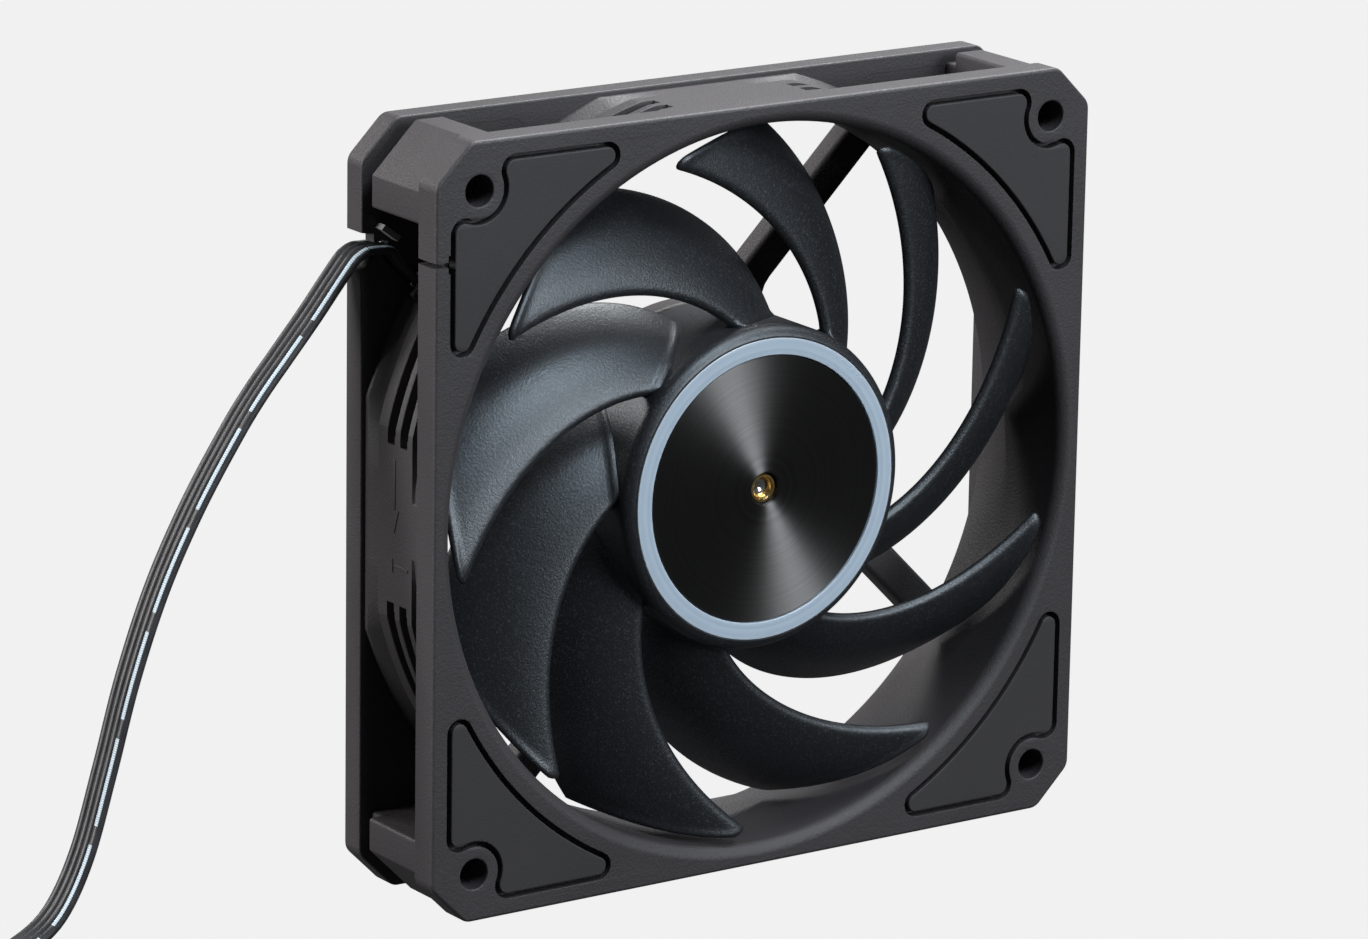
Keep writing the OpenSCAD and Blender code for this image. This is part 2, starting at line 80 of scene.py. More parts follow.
# Rotor
HUB_TOP = FRONT - 0.2
HUB_BOTTOM = REAR + 5.5
HUB_FILLET = 2.2
RING_R = 23.65
RING_W = 2.65
DISC_R = 20.85
BUSH_R = 2.4
SHAFT_R = 1.5
TIP_R = 55.5
BLADES = 9
# Cable
RIBBON_W = 6.0
WIRE_R = 0.75
RIBBON_Y = 9.3
EXIT = (-59.5, RIBBON_Y, 100.3)


def stand(p):
    """A point of the lying fan, in millimetres, in the row frame in metres."""
    return Vector((p[0], -p[2], HALF + p[1])) * MM


# ---------- camera ----------

def make_camera():
    turn, tilt, roll = math.radians(-34.71), math.radians(14.99), math.radians(0.95)
    back = Vector((math.sin(turn) * math.cos(tilt), -math.cos(turn) * math.cos(tilt), math.sin(tilt)))
    right = Vector((math.cos(turn), math.sin(turn), 0))
    up = back.cross(right)
    across = right * math.cos(roll) + up * math.sin(roll)
    above = up * math.cos(roll) - right * math.sin(roll)
    place = Vector((0, 0, HALF)) + across * -5.54 + above * 0.29 + back * 1031.4
    data = bpy.data.cameras.new("camera")
    data.sensor_width = 36
    data.lens = 176.43
    data.clip_end = 20
    camera = bpy.data.objects.new("camera", data)
    bpy.context.scene.collection.objects.link(camera)
    turned = Matrix((across, above, back)).transposed().to_4x4()
    camera.matrix_world = Matrix.Translation(place * MM) @ turned
    bpy.context.scene.camera = camera


make_camera()


# ---------- mesh helpers ----------

def arc(cx, cy, r, a0, a1, n=8):
    """Points on a circle from angle a0 to a1, in degrees."""
    angles = [math.radians(a0 + (a1 - a0) * i / n) for i in range(n + 1)]
    return [(cx + r * math.cos(a), cy + r * math.sin(a)) for a in angles]


def circle(cx, cy, r, n=48):
    return arc(cx, cy, r, 0, 360, n)[:-1]


def turned(points, degrees):
    c, s = math.cos(math.radians(degrees)), math.sin(math.radians(degrees))
    return [(x * c - y * s, x * s + y * c) for x, y in points]


def rounded(corners, radius, n=5):
    """A polygon with each corner rounded, as far as its sides allow."""
    out = []
    for i, p in enumerate(corners):
        p, a, b = Vector(p), Vector(corners[i - 1]), Vector(corners[(i + 1) % len(corners)])
        to_a, to_b = (a - p), (b - p)
        half = to_a.angle(to_b) / 2
        reach = min(radius / math.tan(half), 0.45 * to_a.length, 0.45 * to_b.length)
        start, end = p + to_a.normalized() * reach, p + to_b.normalized() * reach
        for k in range(n + 1):
            t = k / n
            out.append(tuple(start * (1 - t) ** 2 + p * 2 * t * (1 - t) + end * t * t))
    return out


def inset(points, d):
    """The loop moved by d to its left, which is into the material for a hole drawn clockwise."""
    out, n = [], len(points)
    for i in range(n):
        p, a, b = Vector(points[i]), Vector(points[i - 1]), Vector(points[(i + 1) % n])
        u, w = (p - a).normalized(), (b - p).normalized()
        left = Vector((-u.y - w.y, u.x + w.x))
        scale = max(left.length_squared / 2, 0.4)
        out.append(tuple(p + left * d / scale))
    return out


def edge_profile(low, high, bottom, top, n=4):
    """(inset, height) down a plate's side, with its two edges rounded."""
    quarter = [math.pi / 2 * k / n for k in range(n + 1)]
    first = [(bottom * (1 - math.sin(a)), low + bottom * (1 - math.cos(a))) for a in quarter]
    last = [(top * (1 - math.cos(a)), high - top * (1 - math.sin(a))) for a in quarter]
    return (first if bottom else [(0, low)]) + (last if top else [(0, high)])


def off_line(co, i):
    """The point moved by a hair's breadth, flat."""
    hair = 1e-5
    return Vector((co.x + hair * math.sin(7 * co.y + i), co.y + hair * math.sin(5 * co.x + i), 0))


def plate(bm, loops):
    """Adds a closed plate. A loop is (points, profile): the outline anticlockwise, holes clockwise."""
    caps = ([], [])
    for points, profile in loops:
        rings = []
        for d, h in profile:
            ring = inset(points, d) if d else points
            rings.append([bm.verts.new((x, v, h)) for x, v in ring])
        n = len(points)
        for low, high in zip(rings, rings[1:]):
            for i in range(n):
                bm.faces.new((low[i], low[(i + 1) % n], high[(i + 1) % n], high[i]))
        caps[0].append(rings[0])
        caps[1].append(rings[-1])
    for side, cap in enumerate(caps):
        flat = [v for ring in cap for v in ring]
        # points in a straight row also make whole triangles when they are a little out of line
        lines = [[off_line(v.co, i) for i, v in enumerate(ring)] for ring in cap]
        near = [p for line in lines for p in line]
        for tri in tessellate_polygon(lines):
            a, b, c = (near[i] for i in tri)
            face = bm.faces.new([flat[i] for i in tri])
            if ((b - a).cross(c - a).z > 0) != (side == 1):
                face.normal_flip()


def lathe(bm, profile, n=128, closed=True):
    """Turns (r, h) points about the fan's axis; points at r = 0 become poles."""
    rings = []
    for r, h in profile:
        if r < 1e-6:
            rings.append([bm.verts.new((0, 0, h))])
        else:
            rings.append([bm.verts.new((x, v, h)) for x, v in circle(0, 0, r, n)])
    pairs = list(zip(rings, rings[1:])) + ([(rings[-1], rings[0])] if closed else [])
    for a, b in pairs:
        for i in range(n):
            quad = [a[i % len(a)], a[(i + 1) % len(a)], b[(i + 1) % len(b)], b[i % len(b)]]
            quad = [v for k, v in enumerate(quad) if v not in quad[:k]]
            if len(quad) > 2:
                bm.faces.new(quad)


def block(bm, low, high, edge=0.3, place=None):
    """A box with rounded edges."""
    (x0, y0, z0), (x1, y1, z1) = low, high
    part = bmesh.new()
    bmesh.ops.create_cube(part, size=1)
    for v in part.verts:
        v.co = Vector(((x0 + x1) / 2 + v.co.x * (x1 - x0), (y0 + y1) / 2 + v.co.y * (y1 - y0),
                       (z0 + z1) / 2 + v.co.z * (z1 - z0)))
    if edge:
        bmesh.ops.bevel(part, geom=part.edges[:], offset=edge, segments=3, profile=0.5,
                        affect="EDGES", clamp_overlap=True)
    if place:
        bmesh.ops.transform(part, matrix=place, verts=part.verts[:])
    add_copy(bm, part)
    part.free()


def add_copy(bm, part):
    new = [bm.verts.new(v.co) for v in part.verts]
    part.verts.index_update()
    for f in part.faces:
        bm.faces.new([new[v.index] for v in f.verts])


def finished(name, bm, body, material, smooth=40):
    """A bmesh, stood up, as a piece that rides on a body, its faces outwards and its place in its mesh."""
    for v in bm.verts:
        v.co = stand(v.co)
    bmesh.ops.remove_doubles(bm, verts=bm.verts[:], dist=1e-4 * MM)
    bmesh.ops.recalc_face_normals(bm, faces=bm.faces[:])
    mesh = bpy.data.meshes.new(name)
    bm.to_mesh(mesh)
    bm.free()
    return as_piece(name, mesh, body, material, smooth)


def as_piece(name, mesh, body, material, smooth=40):
    mesh.materials.clear()
    mesh.materials.append(material)
    mesh.polygons.foreach_set("use_smooth", [True] * len(mesh.polygons))
    mesh.set_sharp_from_angle(angle=math.radians(smooth))
    piece = bpy.data.objects.new(name, mesh)
    bpy.context.scene.collection.objects.link(piece)
    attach(piece, body)
    return piece


def baked(piece):
    """The piece with its modifiers applied."""
    depsgraph = bpy.context.evaluated_depsgraph_get()
    mesh = bpy.data.meshes.new_from_object(piece.evaluated_get(depsgraph), depsgraph=depsgraph)
    piece.modifiers.clear()
    piece.data = mesh
    return piece


def even_normals(piece):
    """Weights normals by face size, so that flat faces stay flat beside rounded edges."""
    weighted = piece.modifiers.new("even", "WEIGHTED_NORMAL")
    weighted.keep_sharp = True
    weighted.weight = 90
    return baked(piece)


def cut(piece, bm, smooth=40):
    """Cuts the lying shape in bm out of a finished piece."""
    for v in bm.verts:
        v.co = stand(v.co)
    bmesh.ops.recalc_face_normals(bm, faces=bm.faces[:])
    mesh = bpy.data.meshes.new("cutter")
    bm.to_mesh(mesh)
    bm.free()
    cutter = bpy.data.objects.new("cutter", mesh)
    bpy.context.scene.collection.objects.link(cutter)
    modifier = piece.modifiers.new("cut", "BOOLEAN")
    modifier.operation = "DIFFERENCE"
    modifier.solver = "EXACT"
    modifier.use_self = True
    modifier.use_hole_tolerant = True
    modifier.object = cutter
    bpy.context.view_layer.update()
    baked(piece)
    piece.data.set_sharp_from_angle(angle=math.radians(smooth))
    bpy.data.objects.remove(cutter)
    return piece


# ---------- materials ----------

class Finish:
    """A material with a few short ways to add nodes."""

    def __init__(self, name, color, roughness, metallic=0.0, **sockets):
        self.material = bpy.data.materials.new(name)
        self.material.use_nodes = True
        self.tree = self.material.node_tree
        self.shader = self.tree.nodes["Principled BSDF"]
        self.set("Base Color", (*color, 1))
        self.set("Roughness", roughness)
        self.set("Metallic", metallic)
        for key, value in sockets.items():
            self.set(key.replace("_", " ").title(), value)
        self.place = self.node("ShaderNodeTexCoord").outputs["Object"]

    def set(self, socket, value):
        self.shader.inputs[socket].default_value = value

    def node(self, kind, inputs=(), **settings):
        made = self.tree.nodes.new(kind)
        for key, value in settings.items():
            setattr(made, key, value)
        for key, value in dict(inputs).items():
            if isinstance(value, bpy.types.NodeSocket):
                self.tree.links.new(value, made.inputs[key])
            else:
                made.inputs[key].default_value = value
        return made

    def link(self, output, socket):
        self.tree.links.new(output, self.shader.inputs[socket])

    def noise(self, scale, detail=2.0, rough=0.5, vector=None):
        inputs = {"Scale": scale, "Detail": detail, "Roughness": rough, "Vector": vector or self.place}
        return self.node("ShaderNodeTexNoise", inputs).outputs["Fac"]

    def ramp(self, value, stops):
        made = self.node("ShaderNodeValToRGB", {"Fac": value})
        ramp = made.color_ramp
        while len(ramp.elements) < len(stops):
            ramp.elements.new(0.5)
        for element, (at, color) in zip(ramp.elements, stops):
            element.position = at
            element.color = (*color, 1) if len(color) == 3 else color
        return made.outputs["Color"]

    def span(self, value, low, high):
        """A value from 0 to 1 spread over low to high."""
        inputs = {"Value": value, "To Min": low, "To Max": high}
        return self.node("ShaderNodeMapRange", inputs).outputs["Result"]

    def math(self, operation, a, b=0.0, c=0.0):
        return self.node("ShaderNodeMath", {0: a, 1: b, 2: c}, operation=operation).outputs[0]

    def mixed(self, share, first, second):
        """The first colour with a share of the second."""
        return self.node("ShaderNodeMix", {0: share, 6: first, 7: second}, data_type="RGBA").outputs[2]

    def radius(self):
        """Distance from the middle of the fan."""
        middle = (0, 0, HALF * MM)
        away = self.node("ShaderNodeVectorMath", {0: self.place, 1: middle}, operation="SUBTRACT").outputs[0]
        return self.node("ShaderNodeVectorMath", {0: away}, operation="LENGTH").outputs["Value"]

    def rings(self, radius, pitch):
        return self.math("SINE", self.math("MULTIPLY", radius, 2 * math.pi / pitch))

    def bump(self, height, distance, strength=1.0):
        inputs = {"Height": height, "Distance": distance, "Strength": strength}
        return self.node("ShaderNodeBump", inputs).outputs["Normal"]


def grey(value, tint=(1, 1, 1)):
    return tuple(value * t for t in tint)


def moulded(name, color, roughness, grain=0.00005, spread=0.12, **sockets):
    """Spark-eroded moulding: fine pits, faint flow clouds and slightly uneven gloss."""
    f = Finish(name, color, roughness, **sockets)
    pits = f.noise(2600, 3.0, 0.6)
    clouds = f.noise(45, 3.0)
    dark, light = grey(1 - spread, color), grey(1 + spread, color)
    f.link(f.ramp(clouds, [(0.3, dark), (0.7, light)]), "Base Color")
    f.link(f.span(pits, roughness - 0.1, roughness + 0.12), "Roughness")
    f.link(f.bump(pits, grain), "Normal")
    return f


def housing_plastic():
    return moulded("housing_plastic", (0.034, 0.031, 0.034), 0.55, grain=0.00008).material


def pad_rubber():
    return moulded("pad_rubber", (0.027, 0.025, 0.027), 0.66, grain=0.00003, spread=0.08).material


def impeller_plastic():
    """Satin plastic with fine flakes, their glints painted into its colour as bright bluish flecks."""
    f = moulded("impeller_plastic", (0.011, 0.0113, 0.013), 0.40, grain=0.00006, spread=0.1)
    flakes = f.node("ShaderNodeTexVoronoi", {"Vector": f.place, "Scale": 4200.0})
    # painted glints: bright bluish flecks mixed into the base colour stand for the flakes' sparkle
    painted_glints = f.ramp(flakes.outputs["Color"], [(0.70, (0, 0, 0)), (1.0, (1, 1, 1))])
    colour = f.shader.inputs["Base Color"].links[0].from_socket
    share = f.math("MULTIPLY", painted_glints, 0.22)
    f.link(f.mixed(share, colour, (0.16, 0.18, 0.21, 1)), "Base Color")
    f.set("Specular IOR Level", 0.80)
    f.set("Specular Tint", (0.84, 0.93, 1.0, 1))
    return f.material


def light_ring_milky():
    f = Finish("light_ring_milky", (0.46, 0.60, 0.72), 0.28, subsurface_weight=0.35)
    f.set("Subsurface Radius", (0.9, 1.0, 1.0))
    f.set("Subsurface Scale", 0.0015)
    f.set("Coat Weight", 0.15)
    parts = f.node("ShaderNodeSeparateXYZ", {"Vector": f.place})
    up = f.math("SUBTRACT", parts.outputs["Z"], HALF * MM)
    squares = f.math("ADD", f.math("POWER", parts.outputs["X"], 2.0), f.math("POWER", up, 2.0))
    across = {"Value": f.math("SQRT", squares), "From Min": (RING_R - RING_W) * MM, "From Max": RING_R * MM}
    along = f.node("ShaderNodeMapRange", across)
    bands = [(0.0, (0.45, 0.53, 0.62)), (0.30, (0.36, 0.45, 0.54)), (0.42, (0.44, 0.53, 0.62)),
             (0.75, (0.39, 0.48, 0.57)), (1.0, (0.48, 0.56, 0.65))]
    f.link(f.ramp(along.outputs["Result"], bands), "Base Color")
    f.link(f.bump(f.noise(300, 2.0), 0.00002), "Normal")
    return f.material


def disc_dark_metal():
    """Turned face: fine rings, with a highlight drawn out across them."""
    f = Finish("disc_dark_metal", (0.115, 0.112, 0.112), 0.45, metallic=0.95, anisotropic=1.0)
    f.set("Anisotropic Rotation", 0.25)
    radius = f.radius()
    outwards = f.node("ShaderNodeCombineXYZ", {"X": f.math("MULTIPLY", radius, 2200.0)}).outputs[0]
    wide = f.noise(1.0, 4.0, 0.7, outwards)
    f.link(f.ramp(wide, [(0.3, (0.070, 0.068, 0.068)), (0.7, (0.100, 0.098, 0.098))]), "Base Color")
    f.link(f.bump(f.rings(radius, 0.00022), 0.0000022, 0.6), "Normal")
    tangent = f.node("ShaderNodeTangent", direction_type="RADIAL", axis="Y")
    f.link(tangent.outputs[0], "Tangent")
    return f


def turned_metal(name, color, roughness, pitch):
    f = Finish(name, color, roughness, metallic=1.0)
    wear = f.noise(900, 3.0)
    f.link(f.span(wear, roughness - 0.08, roughness + 0.12), "Roughness")
    f.link(f.bump(f.rings(f.radius(), pitch), 0.000004, 0.5), "Normal")
    return f.material


def cable_black():
    """Wire insulation; the outer wire carries a light broken stripe."""
    f = Finish("cable_black", (0.030, 0.030, 0.033), 0.42)
    uv = f.node("ShaderNodeUVMap", uv_map="along")
    parts = f.node("ShaderNodeSeparateXYZ", {"Vector": uv.outputs[0]})
    step = f.math("FRACT", f.math("DIVIDE", parts.outputs["X"], 16.4))
    dash = f.math("LESS_THAN", step, 0.82)
    across = f.math("ABSOLUTE", f.math("SUBTRACT", parts.outputs["Y"], 0.28))
    line = f.math("LESS_THAN", across, 0.085)
    weave = f.span(f.rings(parts.outputs["X"], 0.35), 0.0, 1.0)
    tone = f.mixed(weave, (0.34, 0.42, 0.48, 1), (0.62, 0.72, 0.80, 1))
    skin = f.ramp(f.noise(400, 2.0), [(0.3, (0.024, 0.024, 0.027)), (0.7, (0.040, 0.039, 0.042))])
    f.link(f.mixed(f.math("MULTIPLY", dash, line), skin, tone), "Base Color")
    f.link(f.bump(f.noise(1500, 2.0), 0.00002), "Normal")
    return f.material


HOUSING = housing_plastic()
PAD = pad_rubber()
IMPELLER = impeller_plastic()
RING = light_ring_milky()
DISC = disc_dark_metal().material
BRASS = turned_metal("brass", (0.72, 0.50, 0.20), 0.24, 0.0002)
STEEL = turned_metal("shaft_steel", (0.78, 0.79, 0.80), 0.16, 0.0003)
CABLE = cable_black()
PLUG = moulded("plug_nylon", (0.022, 0.022, 0.024), 0.40, grain=0.00002).material
COVER = moulded("base_cover_plastic", (0.028, 0.028, 0.030), 0.36, grain=0.00001).material


# ---------- cable ----------

FALL = [
    (-59.5, 100.3), (-61.4, 99.4), (-64.2, 96.2), (-68.3, 91.2), (-73.1, 85.7),
    (-77.7, 80.4), (-82, 74.6), (-88.5, 64.5), (-94.5, 53), (-99.5, 40),
    (-103.5, 26.5), (-107.5, 14), (-112, 5.8), (-117, 2), (-122, 0.8),
]
FLOOR_RUN = [(-129, 2, 22), (-136, 3, 55), (-143, 3.5, 80), (-149, 3.7, 90), (-156, 3.7, 90)]
HANK_NEAR_X = -161
HANK_FAR_X = -223
HANK_Y = -4.7
HANK_Z = 3.7
LOOP_R = 14.0
INNER_LOOP_R = 11.8
WAIST_OUT = 2.6
WAIST_IN = 0.5
PLUG_BACK_X = -205
PLUG_Z = 9.6


def smooth_step(t):
    return t * t * (3 - 2 * t)


def hank_run(x0, x1, side, waist, r0, r1, n=16):
    """A run between the loops that draws in to the tied waist: (x, y, z, turn) rows."""
    middle, half = (HANK_NEAR_X + HANK_FAR_X) / 2, (HANK_NEAR_X - HANK_FAR_X) / 2
    rows = []
    for i in range(n + 1):
        x = x0 + (x1 - x0) * i / n
        t = (x - middle) / half
        r = r0 if t > 0 else r1
        rows.append((x, HANK_Y + side * (waist + (r - waist) * smooth_step(abs(t))), HANK_Z, 90))
    return rows


def ribbon_rows():
    """The free cable's centre points and the angle that its width is turned from level."""
    rows = [(x, RIBBON_Y, z, 0) for x, z in FALL]
    rows += [(x, RIBBON_Y, z, a) for x, z, a in FLOOR_RUN]
    rows += hank_run(HANK_NEAR_X, HANK_FAR_X, 1, WAIST_OUT, LOOP_R, LOOP_R)
    rows += [(x, y, HANK_Z, 90) for x, y in arc(HANK_FAR_X, HANK_Y, LOOP_R, 90, 270, 14)[1:-1]]
    rows += hank_run(HANK_FAR_X, HANK_NEAR_X, -1, WAIST_OUT, INNER_LOOP_R, LOOP_R)
    rows += [(x, y, HANK_Z, 90) for x, y in arc(HANK_NEAR_X, HANK_Y, INNER_LOOP_R, -90, 90, 14)[1:-1]]
    middle = (HANK_NEAR_X + HANK_FAR_X) / 2
    rows += hank_run(HANK_NEAR_X, middle, 1, WAIST_IN, INNER_LOOP_R, INNER_LOOP_R, 8)
    rows += [(middle - 3, HANK_Y + 0.3, HANK_Z, 90), (middle - 7, HANK_Y, 5.6, 60),
             (middle - 10, HANK_Y, 8.4, 20), (PLUG_BACK_X, HANK_Y, PLUG_Z, 0)]
    return rows


def through(rows, step=1.5):
    """Rows closer together on a smooth curve through the given ones."""
    out = []
    for i in range(len(rows) - 1):
        p0, p1, p2, p3 = (Vector(rows[min(max(k, 0), len(rows) - 1)]) for k in (i - 1, i, i + 1, i + 2))
        n = max(1, math.ceil((p2 - p1).xyz.length / step))
        for k in range(n):
            t = k / n
            out.append(tuple(0.5 * (2 * p1 + (p2 - p0) * t + (2 * p0 - 5 * p1 + 4 * p2 - p3) * t * t
                                    + (3 * p1 - p0 - 3 * p2 + p3) * t ** 3)))
    return out + [tuple(rows[-1])]


def ribbon(name, rows, sides=12):
    """Four round wires side by side along rows of (x, y, z, turn) in row-frame millimetres."""
    mesh = bpy.data.meshes.new(name)
    bm = bmesh.new()
    uv = bm.loops.layers.uv.new("along")
    frames, length = [], 0.0
    for i, row in enumerate(rows):
        here = Vector(row[:3])
        ahead = Vector(rows[min(i + 1, len(rows) - 1)][:3]) - Vector(rows[max(i - 1, 0)][:3])
        ahead.normalize()
        level = ahead.cross(Vector((0, 0, 1))).normalized()
        flat = level.cross(ahead)
        a = math.radians(row[3])
        width = level * math.cos(a) + flat * math.sin(a)
        if i:
            length += (here - Vector(rows[i - 1][:3])).length
        frames.append((here, width, width.cross(ahead), length))
    for wire in range(4):
        rings = []
        for here, width, normal, _ in frames:
            middle = here - width * (1.5 - wire) * 2 * WIRE_R * 0.985
            rings.append([
                bm.verts.new((middle + (width * math.cos(t) + normal * math.sin(t)) * WIRE_R) * MM)
                for t in (2 * math.pi * k / sides for k in range(sides))
            ])
        for j in range(len(rings) - 1):
            for k in range(sides):
                n = (k + 1) % sides
                face = bm.faces.new((rings[j][k], rings[j][n], rings[j + 1][n], rings[j + 1][k]))
                for loop, (at, turn) in zip(face.loops, ((j, k), (j, k + 1), (j + 1, k + 1), (j + 1, k))):
                    loop[uv].uv = (frames[at][3], turn / sides + (10 if wire else 0))
        for ring in (rings[0], rings[-1]):
            bm.faces.new(ring)
    bmesh.ops.recalc_face_normals(bm, faces=bm.faces[:])
    bm.to_mesh(mesh)
    bm.free()
    piece = as_piece(name, mesh, "housing", CABLE, 60)
    return piece, [tuple(f[0] * MM) for f in frames], length * MM


def make_cable():
    rows = through(ribbon_rows())
    piece, path, length = ribbon("ribbon_cable", rows)
    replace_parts(piece, "cable", "cable_hank")


make_cable()


# ---------- housing ----------

def flange_outline():
    c = HALF - CHAMFER
    corners = [p for k in range(4) for p in turned([(HALF, c), (c, HALF)], 90 * k)]
    return rounded(corners, 2.6)


def pad_outline(d, from_duct):
    """A corner pad's outline at +x +v, drawn in by d all round."""
    e = HALF - 3 - d
    ri, rn, rt, rc = DUCT_R + from_duct + d, 4.7 + d, 1.8 - d, 2 - d
    tip_v = e - rt
    tip_u = math.sqrt((ri + rt) ** 2 - tip_v ** 2)
    knee_v = e - rc
    knee_u = HOLE_AT - math.sqrt((rn + rc) ** 2 - (knee_v - HOLE_AT) ** 2)
    tip_a = math.degrees(math.atan2(tip_v, tip_u))
    knee_a = math.degrees(math.atan2(HOLE_AT - knee_v, HOLE_AT - knee_u))
    around = arc(tip_u, tip_v, rt, 180 + tip_a, 90, 8)
    around += arc(knee_u, knee_v, rc, 90, knee_a, 8)
    around += arc(HOLE_AT, HOLE_AT, rn, 180 + knee_a, 270 - knee_a, 14)[1:]
    around += arc(knee_v, knee_u, rc, 90 - knee_a, 0, 8)[1:]
    around += arc(tip_v, tip_u, rt, 0, -90 - tip_a, 8)
    around += arc(0, 0, ri, 90 - tip_a, tip_a, 28)[1:-1]
    return around


def in_corner(points, sx, sv, anticlockwise):
    """Points of the +x +v corner in another corner, in the wanted direction."""
    moved = [(sx * x, sv * v) for x, v in points]
    area = sum(a[0] * b[1] - b[0] * a[1] for a, b in zip(moved, moved[1:] + moved[:1]))
    return moved if (area > 0) == anticlockwise else moved[::-1]


CORNERS = {"top_right": (1, 1), "top_left": (-1, 1), "bottom_left": (-1, -1), "bottom_right": (1, -1)}


def hole_loops(low, high):
    profile = edge_profile(low, high, 0.25, 0.25, 3)
    return [(circle(sx * HOLE_AT, sv * HOLE_AT, HOLE_R, 40)[::-1], profile) for sx, sv in CORNERS.values()]


def pad_loops(low, high, from_duct):
    profile = edge_profile(low, high, 0.12, 0.12, 2)
    outline = pad_outline(-PAD_GAP / 2, from_duct)
    return [(in_corner(outline, sx, sv, False), profile) for sx, sv in CORNERS.values()]


def pad_floors(bm, low, high, from_duct):
    outline = pad_outline(-PAD_GAP, from_duct)
    for sx, sv in CORNERS.values():
        plate(bm, [(in_corner(outline, sx, sv, True), [(0, low), (0, high)])])


def intake_flange():
    bm = bmesh.new()
    lip = edge_profile(FRONT_BACK, FRONT, 0, LIP_R, 10)
    plate(bm, [(flange_outline(), edge_profile(FRONT_BACK, FRONT, 0.3, 0.5)),
               (circle(0, 0, DUCT_R, 192)[::-1], lip)]
          + hole_loops(FRONT_BACK, FRONT) + pad_loops(FRONT_BACK, FRONT, FRONT_PAD_FROM_DUCT))
    piece = finished("intake_flange", bm, "housing", HOUSING)
    slit = bmesh.new()
    block(slit, (-HALF - 1, 41.6, FRONT_BACK - 1), (-HALF + 2.9, 42.4, FRONT + 1), 0)
    block(slit, (-HALF + 2.2, 40.6, FRONT_BACK - 1), (-HALF + 3.0, 43.4, FRONT + 1), 0)
    cut(piece, slit)
    even_normals(piece)
    floors = bmesh.new()
    pad_floors(floors, FRONT_BACK + 0.05, FRONT - PAD_THICK, FRONT_PAD_FROM_DUCT)
    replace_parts(piece, "frame")
    finished("intake_pad_floors", floors, "housing", HOUSING)


def outlet_flare(bm):
    """The opening through the outlet flange: a cone that four planes cut flat."""
    slope = (OUTLET_R - DUCT_R) / (REAR_FRONT - REAR)
    lathe(bm, [(0, REAR - 1), (OUTLET_R + slope, REAR - 1), (DUCT_R, REAR_FRONT), (DUCT_R, REAR_FRONT + 1),
               (0, REAR_FRONT + 1)], 192, closed=False)
    for k in range(4):
        normal = Vector((math.cos(math.pi / 2 * k), math.sin(math.pi / 2 * k), 0))
        everything = bm.verts[:] + bm.edges[:] + bm.faces[:]
        bmesh.ops.bisect_plane(bm, geom=everything, plane_co=normal * OUTLET_FLAT, plane_no=normal,
                               clear_outer=True)
        bmesh.ops.holes_fill(bm, edges=[e for e in bm.edges if e.is_boundary])


def outlet_flange():
    bm = bmesh.new()
    plate(bm, [(flange_outline(), edge_profile(REAR, REAR_FRONT, 0.5, 0.3))]
          + hole_loops(REAR, REAR_FRONT) + pad_loops(REAR, REAR_FRONT, REAR_PAD_FROM_DUCT))
    piece = finished("outlet_flange", bm, "housing", HOUSING)
    opening = bmesh.new()
    outlet_flare(opening)
    cut(piece, opening)
    channel = bmesh.new()
    cable_channel(channel)
    notch(channel)
    cut(piece, channel)
    even_normals(piece)
    floors = bmesh.new()
    pad_floors(floors, REAR + PAD_THICK, REAR_FRONT - 0.05, REAR_PAD_FROM_DUCT)
    pad_floor = finished("outlet_pad_floors", floors, "housing", HOUSING)
    channel = bmesh.new()
    cable_channel(channel)
    cut(pad_floor, channel)


def notch(bm):
    """The gap in the rim that the cable leaves by, with a sloping lower end."""
    low, high = EXIT_V - 2.8, EXIT_V + 2.4
    corners = [(-HALF - 1, low - 0.9), (-HALF + 0.7, low), (-HALF + 3.2, EXIT_V - 0.2),
               (-HALF + 4, EXIT_V - 0.2), (-HALF + 4, high), (-HALF + 1.6, high), (-HALF - 1, high + 0.5)]
    plate(bm, [(rounded(corners, 0.6), [(0, REAR - 1), (0, REAR_FRONT + 0.5)])])


STRUT_FRAME = Matrix.Rotation(math.radians(135), 4, "Z") @ Matrix.Translation((0, STRUT_OFFSET, 0))
EXIT_V = 40.3
TURN_AT = EXIT_V * math.sqrt(2) + STRUT_OFFSET
TURN_X = -(TURN_AT + STRUT_OFFSET) / math.sqrt(2)
CHANNEL_W = 2.1
CHANNEL_D = 6.3


def cable_channel(bm):
    side = CHANNEL_W / 2
    block(bm, (HUB_R + 1, -side, REAR - 1), (TURN_AT + 1, side, REAR + CHANNEL_D), 0, STRUT_FRAME)
    block(bm, (15, -3.2, REAR - 1), (HUB_R + 3, 3.2, REAR + 1.9), 0, STRUT_FRAME)
    block(bm, (-HALF - 1, EXIT_V - side, REAR - 1), (TURN_X + 1, EXIT_V + side, REAR + CHANNEL_D), 0)


GROOVE_END = (12.9, 11.7)


def duct_outside():
    """The duct's outside from the intake flange back to the outlet flange: (radius, height, end).
    A groove's floor stops at the end angle from the middle of each flat side."""
    floor = RIB_R - 1.9
    rows = [(floor, FRONT_BACK + 0.1, 5), (floor, 5.35, 4.2), (RIB_R - 0.1, 5.1, 0)]
    for middle in (2.8, -0.7):
        rows += [(RIB_R, middle + 1.2, 0), (RIB_R - 0.1, middle + 1.08, 0)]
        rows += [(floor, middle + 0.9, GROOVE_END[0]), (floor, middle - 0.9, GROOVE_END[1])]
        rows += [(RIB_R - 0.1, middle - 1.08, 0), (RIB_R, middle - 1.2, 0)]
    return rows + [(RIB_R, -4.2, 0), (RIB_R - 0.12, -4.35, 0), (NECK_R, -4.5, 0), (FLARE_R - 0.2, -7.1, 0),
                   (FLARE_R, -7.5, 0), (FLARE_R, REAR_FRONT - 0.02, 0)]


